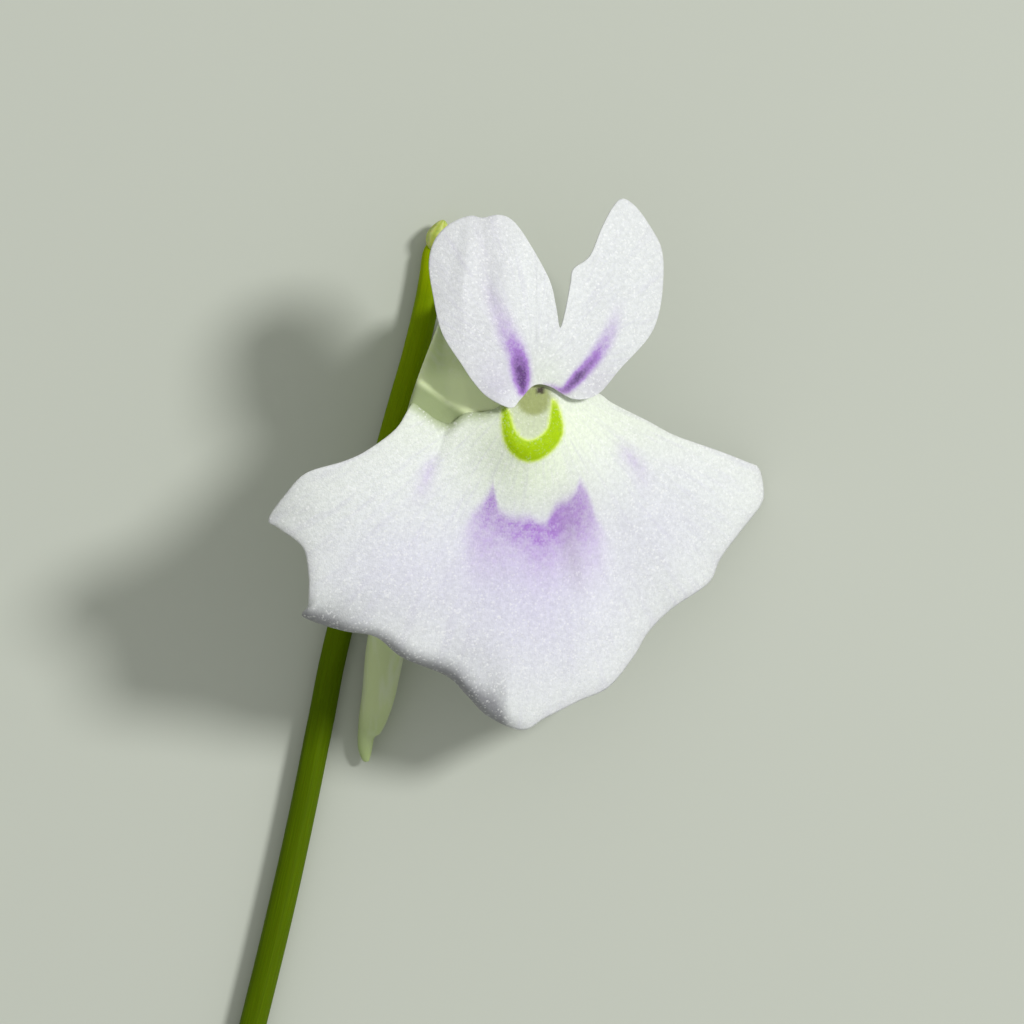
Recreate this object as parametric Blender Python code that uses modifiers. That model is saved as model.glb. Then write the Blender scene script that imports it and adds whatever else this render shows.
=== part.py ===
"""One bladderwort flower on its cut stem, laid down on a flat surface.

Metres, +Z up. The stem lies along +Y and the face of the flower looks up, turned a
little to the right, so that the stem, the spur and the right tip of the lower lip
touch the surface. The sizes below are millimetres from the throat of the flower:
x to the right, y up the stem and z above the surface. Every piece is moved at the
end so that the origin is at the bottom centre of the whole.
"""
import math

import bmesh
import bpy
import numpy as np
from mathutils import Vector

MM = 0.001
COLLECTION = "bladderwort"

# The flower's stance
YAW = math.radians(28.0)          # the face looks this far to the right
SWEEP = math.radians(8.0)         # each side of a lip falls back this much more
THROAT_HEIGHT = 3.83
FIT_GAP = 0.04                    # clearance between pieces that grow together

PETAL_HEART = 0.07                # share of a lip's outline where its rings end

# The lower lip
LIP_THICKNESS = 0.16
LIP_RIM_STEP = 0.42
LIP_RINGS = 11
LIP_MIDLINE = (-0.10, 0.04)       # x at the throat, and its lean for each mm of y
LIP_FALL = 0.030                  # the lip curves away below the throat
LIP_RIGHT_BEND = (2.6, 0.05)      # the right side bends down past this x
LIP_LEFT_BEND = (2.6, 0.075)
LIP_ROLL_START = 0.86             # share of the way to the rim where it rolls under
LIP_ROLL_TOP = -0.7               # the rim rolls under only below this y
LIP_ROLL = 0.14
LIP_CURL = 0.30                   # the lower left margin rolls this much further
LIP_CURL_LINE = -4.6              # that margin is where x + y is less than this
LIP_CURL_TOP = -3.2               # and y less than this
PALATE_CENTRE = (-0.20, -1.00)
PALATE_RADII = (0.95, 0.80)
PALATE_HEIGHT = 0.72
LIP_SPINE = (-0.9, 0.5, -1.6)     # from x, to x, at y
LOWER_LIP_OUTLINE = [
    (-2.50, -0.26), (-2.90, -0.80), (-3.46, -1.22), (-3.92, -1.44), (-4.68, -1.68),
    (-5.08, -2.08), (-5.44, -2.60), (-5.24, -2.78), (-4.76, -3.16), (-4.64, -3.72),
    (-4.74, -4.50), (-4.50, -4.70), (-3.92, -4.84), (-3.30, -4.96), (-2.76, -5.38),
    (-1.90, -5.74), (-1.50, -6.12), (-1.06, -6.56), (-0.38, -6.84), (0.08, -6.60),
    (0.76, -6.26), (1.36, -5.98), (1.86, -5.38), (2.16, -4.88), (2.62, -4.42),
    (3.16, -4.06), (3.44, -3.82), (3.62, -3.40), (4.02, -2.86), (4.44, -2.32),
    (4.50, -2.02), (4.40, -1.58), (4.18, -1.46), (3.56, -1.22), (2.70, -0.92),
    (2.16, -0.64), (1.44, -0.28), (1.14, -0.10), (0.60, -0.06), (0.00, -0.02),
    (-0.45, -0.12), (-0.95, -0.34), (-1.50, -0.46), (-2.02, -0.46),
]

# The upper lip, two lobes on one base
UPPER_THICKNESS = 0.14
UPPER_RIM_STEP = 0.40
UPPER_RINGS = 9
UPPER_HEIGHT = 4.06               # height of its base above the surface
UPPER_LEAN = 0.035                # the lobes curve back towards their tips
UPPER_MIDLINE_LEAN = 0.25
UPPER_FEET = [                    # the lobes' feet ride over the palate: x, y, radius, lift
    (-0.70, -0.40, 0.55, 0.37), (0.85, -0.30, 0.60, 0.30),
]
UPPER_LOBE_AXES = (-0.95, 1.30)   # x of each lobe's middle
UPPER_LOBE_ROUND = 0.10
UPPER_SPINE = (-0.45, 0.75, 0.32)
UPPER_LIP_OUTLINE = [
    (-0.60, -0.38), (-1.04, -0.18), (-1.32, 0.10), (-1.58, 0.48), (-1.98, 1.12),
    (-2.16, 1.88), (-2.24, 2.52), (-2.12, 2.98), (-1.82, 3.30), (-1.42, 3.46),
    (-0.66, 3.44), (-0.42, 3.22), (-0.10, 2.66), (0.16, 2.20), (0.30, 1.66),
    (0.38, 1.22), (0.48, 1.50), (0.60, 2.12), (0.66, 2.40), (0.98, 2.66),
    (1.22, 3.22), (1.44, 3.64), (1.64, 3.82), (1.92, 3.64), (2.22, 3.22),
    (2.42, 2.82), (2.46, 2.28), (2.38, 1.58), (2.16, 1.04), (1.60, 0.42),
    (1.14, -0.10), (0.66, -0.22), (0.18, -0.02), (-0.16, 0.00), (-0.42, -0.24),
]

# The tube behind the lips and the spur below it
CALYX_BASE = (-1.62, 1.46, 1.22)
TUBE_BACK_RADIUS = 0.42
TUBE_STEPS = 6
TUBE_PINCH = 0.30
TUBE_RIM_WIDTH = 0.20             # share of the mouth's radius that its rim takes
TUBE_RIM_FALL = 0.05
TUBE_DISH_FOOT = 0.55
TUBE_DISH = 0.5
TUBE_MOUTH_STEP = 0.36
TUBE_MOUTH_OUTLINE = [
    (-2.32, -0.50), (-2.02, -1.00), (-1.30, -1.42), (-0.30, -1.62), (0.60, -1.25),
    (1.10, -0.72), (1.15, -0.32), (0.70, -0.06), (0.10, 0.02), (-0.50, -0.04),
    (-1.10, -0.16), (-1.70, -0.24), (-2.16, -0.28),
]
SPUR_SIDES = 6                    # a curve's bevel steps, for 16 sides
SPUR_STEP = 0.45
SPUR_PATH = [                     # x, y, z and radius
    (-1.03, 0.26, 2.82, 0.46), (-1.28, -0.38, 2.42, 0.78), (-1.62, -1.08, 1.86, 0.82),
    (-2.02, -1.95, 1.36, 0.70),
    (-2.46, -3.05, 0.98, 0.56), (-2.86, -4.25, 0.70, 0.46), (-3.12, -5.20, 0.50, 0.40),
    (-3.26, -6.14, 0.39, 0.36), (-3.38, -6.68, 0.34, 0.31), (-3.43, -6.94, 0.32, 0.20),
]
SPUR_TOOTH_PATH = [
    (-3.46, -6.50, 0.33, 0.20), (-3.53, -7.02, 0.29, 0.17), (-3.54, -7.28, 0.27, 0.14),
    (-3.52, -7.50, 0.26, 0.07),
]

# The stem, its top bud, and the stalk that carries the flower
STEM_SIDES = 4
STEM_STEP = 1.4
STEM_PATH = [
    (-7.03, -17.65, 0.28, 0.28), (-5.78, -12.66, 0.27, 0.27), (-5.24, -10.44, 0.27, 0.27),
    (-4.82, -8.54, 0.27, 0.265), (-4.44, -6.66, 0.27, 0.265), (-4.06, -4.84, 0.27, 0.26),
    (-2.98, -0.82, 0.27, 0.26), (-2.58, 0.60, 0.26, 0.255), (-2.32, 1.68, 0.26, 0.25),
    (-2.22, 2.28, 0.25, 0.24), (-2.20, 2.72, 0.25, 0.20),
]
STALK_SIDES = 3
STALK_STEP = 0.13
STALK_PATH = [
    (-1.86, 2.20, 0.32, 0.13), (-1.73, 2.30, 0.36, 0.12), (-1.60, 2.26, 0.50, 0.12),
    (-1.60, 2.08, 0.68, 0.12), (-1.68, 1.84, 0.84, 0.13), (-1.67, 1.56, 1.12, 0.16),
]
BUD_CENTRE = (-2.06, 3.10, 0.34)
BUD_RADII = (0.24, 0.34, 0.24)
BUD_TURN = math.radians(-18.0)

# Small green leaves: the bract by the stalk and the two sepals
LEAF_COLUMNS = 8
LEAF_ROWS = 8
LEAF_WIDEST = 0.42                # share of a leaf's length where it is widest
LEAF_HALF_LENGTH = 0.60           # of the ellipse that it is cut from
LEAF_POINT = 0.6                  # how much its tip is drawn in
LEAF_BELLY_SPAN = 0.62
BRACT_BASE = (-1.78, 2.04, 0.08)
BRACT_TIP = (-1.40, 2.70, 0.08)
BRACT_WIDTH = 0.36
BRACT_ROUND = 0.80
BRACT_THICKNESS = 0.05
SEPAL_THICKNESS = 0.08
SEPAL_BELLY = 0.16
CALYX_AXIS = (0.286, -0.589, 0.756)   # from the stalk towards the mouth of the tube
SEPAL_LENGTHS = (1.55, 1.10)          # upper and lower
SEPAL_WIDTH = 1.55
SEPAL_ROUND = 0.62
SEPAL_RADII = (0.56, 0.78)            # distance from the calyx axis at base and tip


def slopes():
    """Rise to the left and fall to the right of a surface turned by YAW and swept back."""
    return math.tan(YAW - SWEEP), math.tan(YAW + SWEEP)


def turned(side):
    """Height of the turned surface at this distance from the midline, in mm."""
    rise, fall = slopes()
    mean = 0.5 * (rise + fall)
    fold = 0.5 * (fall - rise)
    return -mean * side - fold * (math.hypot(side, 1.0) - 1.0)


def past(value, start):
    """How far a value lies past a start, squared, and nothing before it."""
    return max(0.0, value - start) ** 2


def below(value, edge, sharpness):
    """Soft step from 0 above an edge to 1 below it."""
    return 1.0 / (1.0 + math.exp(sharpness * (value - edge)))


def lower_lip_height(x, y, reach):
    """Height of the lower lip's face; reach runs from 0 at its middle to 1 at its rim."""
    side = x - LIP_MIDLINE[0] - LIP_MIDLINE[1] * y
    height = THROAT_HEIGHT + turned(side) - LIP_FALL * min(y, 0.0) ** 2
    height -= LIP_RIGHT_BEND[1] * past(side, LIP_RIGHT_BEND[0])
    height -= LIP_LEFT_BEND[1] * past(-side, LIP_LEFT_BEND[0])
    across = (x - PALATE_CENTRE[0]) / PALATE_RADII[0]
    along = (y - PALATE_CENTRE[1]) / PALATE_RADII[1]
    height += PALATE_HEIGHT * math.exp(-across * across - along * along)
    curled = below(x + y, LIP_CURL_LINE, 2.5) * below(y, LIP_CURL_TOP, 3.0)
    share = max(0.0, reach - LIP_ROLL_START) / (1.0 - LIP_ROLL_START)
    if y < LIP_ROLL_TOP:
        height -= (LIP_ROLL + LIP_CURL * curled) * share ** 2
    return height


def upper_lip_height(x, y, reach):
    """Height of the upper lip's face."""
    side = x - UPPER_MIDLINE_LEAN * max(y, 0.0)
    height = UPPER_HEIGHT + turned(side) - UPPER_LEAN * max(y, 0.0) ** 2
    axis = UPPER_LOBE_AXES[0] if side < 0.0 else UPPER_LOBE_AXES[1]
    height -= UPPER_LOBE_ROUND * (side - axis) ** 2 * min(1.0, abs(side) / 0.6) * reach
    for foot_x, foot_y, foot_radius, lift in UPPER_FEET:
        near = math.hypot(x - foot_x, y - foot_y) / foot_radius
        height += lift * math.exp(-near * near)
    return height


def behind_lower_lip(x, y):
    """Height that stays a fit gap behind the lower lip's back."""
    step = 0.02
    here = lower_lip_height(x, y, 0.0)
    slope_x = (lower_lip_height(x + step, y, 0.0) - here) / step
    slope_y = (lower_lip_height(x, y + step, 0.0) - here) / step
    steepness = math.sqrt(1.0 + slope_x ** 2 + slope_y ** 2)
    return here - (LIP_THICKNESS + 1.5 * FIT_GAP) * steepness


def smooth_points(points, step, closed):
    """Points along a Catmull-Rom curve through the given ones, about a step apart."""
    knots = [np.array(p, dtype=float) for p in points]
    count = len(knots)
    spans = count if closed else count - 1
    result = []
    for i in range(spans):
        if closed:
            a, b, c, d = (knots[(i + k) % count] for k in (-1, 0, 1, 2))
        else:
            b, c = knots[i], knots[i + 1]
            a = knots[i - 1] if i > 0 else 2 * b - c
            d = knots[i + 2] if i + 2 < count else 2 * c - b
        parts = max(1, round(float(np.linalg.norm((c - b)[:3])) / step))
        for k in range(parts):
            t = k / parts
            result.append(0.5 * (2 * b + (c - a) * t + (2 * a - 5 * b + 4 * c - d) * t ** 2
                                 + (3 * b - a - 3 * c + d) * t ** 3))
    if not closed:
        result.append(knots[-1])
    return result


def make_material(name, colour, roughness):
    material = bpy.data.materials.new(name)
    material.use_nodes = True
    shader = material.node_tree.nodes["Principled BSDF"]
    shader.inputs["Base Color"].default_value = (*colour, 1.0)
    shader.inputs["Roughness"].default_value = roughness
    shader.inputs["Metallic"].default_value = 0.0
    return material


def add_object(name, bm, material, smooth=True):
    """A new object in the flower's collection, from mesh data in millimetres."""
    bmesh.ops.scale(bm, vec=(MM, MM, MM), verts=bm.verts)
    mesh = bpy.data.meshes.new(name)
    bm.to_mesh(mesh)
    bm.free()
    obj = bpy.data.objects.new(name, mesh)
    obj.data.materials.append(material)
    bpy.data.collections[COLLECTION].objects.link(obj)
    if smooth:
        obj.data.shade_smooth()
        obj.data.set_sharp_from_angle(angle=math.radians(50.0))
    return obj


def thicken(obj, thickness):
    """Give an open sheet its thickness, behind its face."""
    solidify = obj.modifiers.new("Thickness", "SOLIDIFY")
    solidify.thickness = thickness * MM
    solidify.offset = -1.0


def wrapped_grid(columns, rows, place):
    """A grid bent round on itself; place gives each column and row its point."""
    bm = bmesh.new()
    bmesh.ops.create_grid(bm, x_segments=columns, y_segments=rows, size=0.5)
    for vert in bm.verts:
        column = round((vert.co.x + 0.5) * columns) % columns
        row = round((vert.co.y + 0.5) * rows)
        vert.co = place(column, row)
    bmesh.ops.remove_doubles(bm, verts=bm.verts, dist=1e-5)
    return bm


def face_outwards(bm):
    bm.normal_update()
    bmesh.ops.recalc_face_normals(bm, faces=bm.faces)


def face_towards(bm, direction):
    """Turn an open sheet's faces to look along the direction, on the whole."""
    face_outwards(bm)
    facing = sum((face.normal * face.calc_area() for face in bm.faces), Vector())
    if facing.dot(direction) < 0.0:
        bmesh.ops.reverse_faces(bm, faces=bm.faces)


def open_loops(bm):
    """The open edge loops of a mesh, shortest first."""
    waiting = {edge for edge in bm.edges if edge.is_boundary}
    loops = []
    while waiting:
        grow = [waiting.pop()]
        loop = []
        while grow:
            edge = grow.pop()
            loop.append(edge)
            near = {e for v in edge.verts for e in v.link_edges if e in waiting}
            waiting -= near
            grow += list(near)
        loops.append(loop)
    return sorted(loops, key=lambda loop: sum(edge.calc_length() for edge in loop))


def make_petal(name, outline, spine, rim_step, rings, height, thickness, material):
    """A curved sheet inside an outline, with rings that shrink from it to a short spine."""
    rim = smooth_points(outline, rim_step, True)

    def place(column, row):
        edge = rim[column]
        pivot_x = min(max(edge[0], spine[0]), spine[1])
        reach = PETAL_HEART + (1.0 - PETAL_HEART) * row / rings
        x = pivot_x + (edge[0] - pivot_x) * reach
        y = spine[2] + (edge[1] - spine[2]) * reach
        return Vector((x, y, height(x, y, reach)))

    bm = wrapped_grid(len(rim), rings, place)
    bmesh.ops.holes_fill(bm, edges=open_loops(bm)[0], sides=0)
    face_towards(bm, Vector((0.0, 0.0, 1.0)))
    obj = add_object(name, bm, material)
    thicken(obj, thickness)
    return obj


def make_cord(name, path, step, sides, material):
    """A round stalk of changing radius along a smooth path, as a mesh with closed ends."""
    curve = bpy.data.curves.new(name, "CURVE")
    curve.dimensions = "3D"
    curve.bevel_depth = MM
    curve.bevel_resolution = sides
    curve.use_fill_caps = True
    points = smooth_points(path, step, False)
    spline = curve.splines.new("POLY")
    spline.points.add(len(points) - 1)
    for knot, point in zip(spline.points, points):
        knot.co = (point[0] * MM, point[1] * MM, point[2] * MM, 1.0)
        knot.radius = point[3]
    guide = bpy.data.objects.new(name + "_path", curve)
    bpy.context.scene.collection.objects.link(guide)
    graph = bpy.context.evaluated_depsgraph_get()
    mesh = bpy.data.meshes.new_from_object(guide.evaluated_get(graph))
    bpy.data.objects.remove(guide)
    bm = bmesh.new()
    bm.from_mesh(mesh)
    bpy.data.meshes.remove(mesh)
    bmesh.ops.scale(bm, vec=(1 / MM, 1 / MM, 1 / MM), verts=bm.verts)
    bmesh.ops.remove_doubles(bm, verts=bm.verts, dist=1e-4)
    face_outwards(bm)
    return add_object(name, bm, material)


def unite(target, others):
    """Join other closed solids into the target and remove them."""
    for other in others:
        union = target.modifiers.new("Join", "BOOLEAN")
        union.operation = "UNION"
        union.solver = "EXACT"
        union.object = other
    bpy.context.view_layer.update()
    graph = bpy.context.evaluated_depsgraph_get()
    mesh = bpy.data.meshes.new_from_object(target.evaluated_get(graph))
    target.modifiers.clear()
    target.data = mesh
    for other in others:
        bpy.data.objects.remove(other)


def make_tube(material):
    """The funnel behind both lips, from the calyx to a dished mouth, with the spur on it."""
    rim = smooth_points(TUBE_MOUTH_OUTLINE, TUBE_MOUTH_STEP, True)
    columns = len(rim)
    back = Vector(CALYX_BASE)
    mouth = []
    for x, y in rim:
        mouth.append(Vector((x, y, behind_lower_lip(x, y))))
    centre = sum(mouth, Vector()) / columns
    axis = (centre - back).normalized()
    across = axis.orthogonal().normalized()
    up = axis.cross(across)

    def place(column, row):
        edge = mouth[column]
        radial = edge - centre
        angle = math.atan2(radial.dot(up), radial.dot(across))
        start = back + (across * math.cos(angle) + up * math.sin(angle)) * TUBE_BACK_RADIUS
        if row <= TUBE_STEPS:
            share = row / TUBE_STEPS
            point = start.lerp(edge, share)
            middle = back.lerp(centre, share)
            return point + (middle - point) * TUBE_PINCH * share * (1.0 - share)
        if row == TUBE_STEPS + 1:
            return edge + (centre - edge) * TUBE_RIM_WIDTH - axis * TUBE_RIM_FALL
        return edge + (centre - edge) * TUBE_DISH_FOOT - axis * TUBE_DISH

    bm = wrapped_grid(columns, TUBE_STEPS + 2, place)
    for loop in open_loops(bm):
        bmesh.ops.holes_fill(bm, edges=loop, sides=0)
    face_outwards(bm)
    tube = add_object("tube_and_spur", bm, material)
    spur = make_cord("spur", SPUR_PATH, SPUR_STEP, SPUR_SIDES, material)
    tooth = make_cord("spur_tooth", SPUR_TOOTH_PATH, SPUR_STEP, STEM_SIDES, material)
    unite(tube, [spur, tooth])
    return tube


def make_leaf(name, base, tip, outward, width, round_radius, belly, thickness, material):
    """A small cupped leaf from its base to its tip, its back towards outward."""
    base, tip, outward = Vector(base), Vector(tip), Vector(outward)
    along = (tip - base).normalized()
    outward = (outward - along * outward.dot(along)).normalized()
    side = along.cross(outward)
    length = (tip - base).length
    bm = bmesh.new()
    bmesh.ops.create_grid(bm, x_segments=LEAF_COLUMNS, y_segments=LEAF_ROWS, size=0.5)
    for vert in bm.verts:
        across = 2.0 * vert.co.x
        share = vert.co.y + 0.5
        from_widest = (share - LEAF_WIDEST) / LEAF_HALF_LENGTH
        half = 0.5 * width * math.sqrt(max(0.0, 1.0 - from_widest ** 2))
        half *= 1.0 - LEAF_POINT * share ** 6
        angle = across * half / round_radius
        lift = round_radius * (math.cos(angle) - 1.0)
        lift += belly * math.sin(math.pi * share * LEAF_BELLY_SPAN)
        vert.co = (base + along * length * share + side * round_radius * math.sin(angle)
                   + outward * lift)
    face_towards(bm, outward)
    leaf = add_object(name, bm, material)
    thicken(leaf, thickness)
    return leaf


def make_sepal(name, upward, length, material):
    """One of the two sepals that clasp the back of the tube."""
    axis = Vector(CALYX_AXIS).normalized()
    outward = Vector((0.0, upward, 0.0))
    outward = (outward - axis * outward.dot(axis)).normalized()
    base = Vector(CALYX_BASE) - axis * 0.05 + outward * SEPAL_RADII[0]
    tip = Vector(CALYX_BASE) + axis * length + outward * SEPAL_RADII[1]
    return make_leaf(name, base, tip, outward, SEPAL_WIDTH, SEPAL_ROUND, SEPAL_BELLY,
                     SEPAL_THICKNESS, material)


def make_bud(material):
    bm = bmesh.new()
    bmesh.ops.create_uvsphere(bm, u_segments=14, v_segments=9, radius=1.0)
    for vert in bm.verts:
        x, z, y = vert.co.x * BUD_RADII[0], vert.co.y * BUD_RADII[2], vert.co.z * BUD_RADII[1]
        taper = 1.0 - 0.35 * max(0.0, vert.co.z)
        x, z = x * taper, z * taper
        turned_x = x * math.cos(BUD_TURN) - y * math.sin(BUD_TURN)
        turned_y = x * math.sin(BUD_TURN) + y * math.cos(BUD_TURN)
        vert.co = Vector(BUD_CENTRE) + Vector((turned_x, turned_y, z))
    face_outwards(bm)
    return add_object("top_bud", bm, material)


def centre_on_surface():
    """Move every piece so that the origin is at the bottom centre of them all."""
    graph = bpy.context.evaluated_depsgraph_get()
    corners = []
    for obj in bpy.data.collections[COLLECTION].objects:
        mesh = obj.evaluated_get(graph).to_mesh()
        corners += [tuple(vert.co) for vert in mesh.vertices]
    low = np.min(corners, axis=0)
    high = np.max(corners, axis=0)
    shift = Vector((-(low[0] + high[0]) / 2, -(low[1] + high[1]) / 2, -low[2]))
    for obj in bpy.data.collections[COLLECTION].objects:
        obj.location = shift


def build():
    for obj in list(bpy.data.objects):
        bpy.data.objects.remove(obj)
    collection = bpy.data.collections.new(COLLECTION)
    bpy.context.scene.collection.children.link(collection)

    white = make_material("petal_white", (0.80, 0.81, 0.84), 0.55)
    greenish = make_material("petal_back", (0.62, 0.68, 0.52), 0.55)
    green = make_material("stem_green", (0.06, 0.11, 0.005), 0.45)
    pale_green = make_material("leaf_green", (0.28, 0.40, 0.06), 0.5)

    make_petal("lower_lip", LOWER_LIP_OUTLINE, LIP_SPINE, LIP_RIM_STEP, LIP_RINGS,
               lower_lip_height, LIP_THICKNESS, white)
    make_petal("upper_lip", UPPER_LIP_OUTLINE, UPPER_SPINE, UPPER_RIM_STEP, UPPER_RINGS,
               upper_lip_height, UPPER_THICKNESS, white)
    make_tube(greenish)
    make_cord("stem", STEM_PATH, STEM_STEP, STEM_SIDES, green)
    make_cord("flower_stalk", STALK_PATH, STALK_STEP, STALK_SIDES, green)
    make_bud(pale_green)

    make_sepal("upper_sepal", 1.0, SEPAL_LENGTHS[0], pale_green)
    make_sepal("lower_sepal", -1.0, SEPAL_LENGTHS[1], pale_green)
    make_leaf("bract", BRACT_BASE, BRACT_TIP, (0.0, 0.0, -1.0), BRACT_WIDTH, BRACT_ROUND, 0.0,
              BRACT_THICKNESS, pale_green)

    centre_on_surface()


build()
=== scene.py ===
"""The looks of one small bladderwort flower on its cut stem, lying face up.

Lengths are millimetres from the throat of the flower unless a name says otherwise:
x to the right of the flower's face, y up the stem and z above the surface.
"""
import math

import bmesh
import bpy
import numpy as np
from mathutils import Matrix, Vector
from mathutils.geometry import delaunay_2d_cdt


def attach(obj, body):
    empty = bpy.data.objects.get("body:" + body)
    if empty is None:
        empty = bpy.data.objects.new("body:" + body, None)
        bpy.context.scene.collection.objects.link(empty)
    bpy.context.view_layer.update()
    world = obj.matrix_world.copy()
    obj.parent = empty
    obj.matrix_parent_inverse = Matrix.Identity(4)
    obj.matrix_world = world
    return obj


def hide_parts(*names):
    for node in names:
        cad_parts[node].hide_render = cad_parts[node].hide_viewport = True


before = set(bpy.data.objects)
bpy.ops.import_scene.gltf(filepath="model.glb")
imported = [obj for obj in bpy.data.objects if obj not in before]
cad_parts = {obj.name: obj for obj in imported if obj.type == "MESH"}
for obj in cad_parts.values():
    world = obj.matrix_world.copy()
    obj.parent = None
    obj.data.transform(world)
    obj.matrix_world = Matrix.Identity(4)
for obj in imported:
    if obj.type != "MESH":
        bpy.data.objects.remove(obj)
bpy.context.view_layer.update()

# The lower lip.
# The broad lower petal, a thin living sheet with a raised palate that closes the throat.
# It grows from the front of the tube: white, with lilac below the throat and a
# yellow-green horseshoe round it.
MM = 0.001
THROAT = Vector((1.401, 6.949, 0.0))         # where the throat is in the frame
YAW = math.radians(28.0)
SWEEP = math.radians(8.0)
THROAT_HEIGHT = 3.83
LIP_THICKNESS = 0.13
LIP_STEP = 0.075
LIP_RINGS = 92
LIP_MIDLINE = (-0.10, 0.04)
LIP_FALL = 0.030
LIP_RIGHT_BEND = (2.6, 0.05)
LIP_LEFT_BEND = (2.6, 0.075)
LIP_ROLL_START = 0.91
LIP_ROLL = 0.05
LIP_CURL = 0.24
LIP_MARGIN = [                               # the curled edge, its colour also darkened by painted shade: x, y, half width and strength
    (-4.76, -4.54, 0.10, 1.0), (-4.40, -4.66, 0.14, 0.9), (-3.92, -4.82, 0.14, 0.75),
    (-3.40, -4.96, 0.14, 0.7), (-3.04, -5.16, 0.16, 0.9), (-2.60, -5.48, 0.18, 1.0),
    (-1.90, -5.74, 0.20, 1.0), (-1.48, -6.10, 0.20, 1.0), (-1.06, -6.54, 0.20, 1.0),
    (-0.76, -6.76, 0.12, 0.8), (-0.42, -6.90, 0.06, 0.0),
]
SHOULDER_LINE = [                            # above this line the flower falls back to the tube
    (-2.70, -0.22), (-2.56, -0.30), (-2.30, -0.46), (-2.08, -0.63), (-1.86, -0.72),
    (-1.72, -0.64), (-1.50, -0.48), (-1.16, -0.46), (-0.86, -0.36), (-0.60, -0.10), (-0.40, 0.30),
]
SHOULDER_SLOPE = 1.2
SHOULDER_SOFT = 0.12
PALATE_CENTRE = (-0.20, -1.00)
PALATE_RADII = (0.95, 0.80)
PALATE_HEIGHT = 0.72
PALATE_FOOT = (-0.20, -2.00)                 # the palate eases into the lip below here
PALATE_FOOT_RADII = (1.10, 0.60)
PALATE_FOOT_LIFT = 0.16
PETAL_HEART = 0.15                           # share of the outline inside which it is one fine net
NET_STEP = 0.05
LIP_SPINE = (-0.9, 0.5, -2.2)
LOWER_LIP_OUTLINE = [
    (-2.60, -0.34), (-2.90, -0.80), (-3.46, -1.22), (-3.92, -1.44), (-4.68, -1.68),
    (-5.08, -2.08), (-5.44, -2.60), (-5.24, -2.78), (-4.76, -3.16), (-4.64, -3.72),
    (-4.64, -4.10), (-4.66, -4.34), (-4.78, -4.52), (-4.50, -4.67), (-3.92, -4.84), (-3.30, -4.96), (-2.76, -5.38),
    (-1.90, -5.74), (-1.50, -6.12), (-1.06, -6.56), (-0.38, -6.84), (0.08, -6.60),
    (0.76, -6.26), (1.36, -5.98), (1.86, -5.38), (2.16, -4.88), (2.62, -4.42),
    (3.16, -4.06), (3.44, -3.82), (3.62, -3.40), (4.02, -2.86), (4.44, -2.32),
    (4.50, -2.02), (4.40, -1.58), (4.18, -1.46), (3.56, -1.22), (2.70, -0.92),
    (2.16, -0.64), (1.44, -0.28), (1.14, -0.08), (0.60, 0.02), (0.10, 0.10),
    (-0.40, 0.03), (-0.60, -0.12), (-0.86, -0.36), (-1.16, -0.46), (-1.50, -0.48),
    (-1.72, -0.63), (-1.86, -0.70), (-2.08, -0.62), (-2.30, -0.46), (-2.50, -0.31),
    (-2.55, -0.28),
]
YELLOW_HORSESHOE = [                         # x, y, half width and strength
    (-0.76, -0.36, 0.02, 0.9), (-0.71, -0.50, 0.06, 1.0), (-0.65, -0.84, 0.10, 1.0),
    (-0.52, -1.10, 0.15, 1.0), (-0.24, -1.25, 0.19, 1.0), (0.07, -1.12, 0.17, 1.0),
    (0.28, -0.85, 0.14, 1.0), (0.29, -0.50, 0.08, 1.0), (0.26, -0.24, 0.02, 0.9),
]
LILAC_TOP = [                                # x, and y of the lilac patch's upper edge
    (-1.90, -3.00), (-1.56, -2.70), (-1.40, -2.45), (-1.20, -2.26), (-1.05, -2.04),
    (-0.96, -1.84), (-0.85, -2.34), (-0.74, -2.44), (-0.50, -2.52), (-0.24, -2.50),
    (-0.04, -2.64), (0.10, -2.64), (0.20, -2.46), (0.28, -2.28), (0.52, -2.16),
    (0.68, -2.04), (0.78, -1.78), (0.92, -1.98), (1.02, -2.24), (1.10, -2.50),
    (1.30, -2.80), (1.60, -3.20),
]
FAINT_LILAC = [                              # a faint stripe on each side of the palate
    [(-2.06, -1.20, 0.05, 0.0), (-2.20, -1.55, 0.12, 0.20), (-2.36, -1.95, 0.14, 0.17),
     (-2.60, -2.40, 0.14, 0.0)],
    [(1.50, -1.00, 0.05, 0.0), (1.72, -1.28, 0.12, 0.20), (1.98, -1.62, 0.14, 0.17),
     (2.20, -2.10, 0.14, 0.0)],
]
LILAC_SPOTS = [                              # where the patch is deepest: x, y, radii, strength
    (-0.24, -2.74, 0.55, 0.36, 0.14), (0.50, -2.54, 0.46, 0.44, 0.20),
    (-0.98, -2.24, 0.30, 0.38, 0.12), (0.76, -2.02, 0.26, 0.32, 0.08),
]
MAUVE_STREAK = [                             # a greyer stripe of painted shade below the patch
    (0.55, -2.80, 0.10, 0.6), (0.62, -3.30, 0.14, 0.9), (0.72, -3.80, 0.12, 0.7),
    (0.86, -4.30, 0.08, 0.0),
]
LIP_CREASE = [
    (-1.86, -0.60, 0.01, 1.0), (-1.94, -0.95, 0.02, 1.0), (-2.10, -1.35, 0.03, 0.8),
    (-2.36, -1.85, 0.03, 0.0),
]


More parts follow.
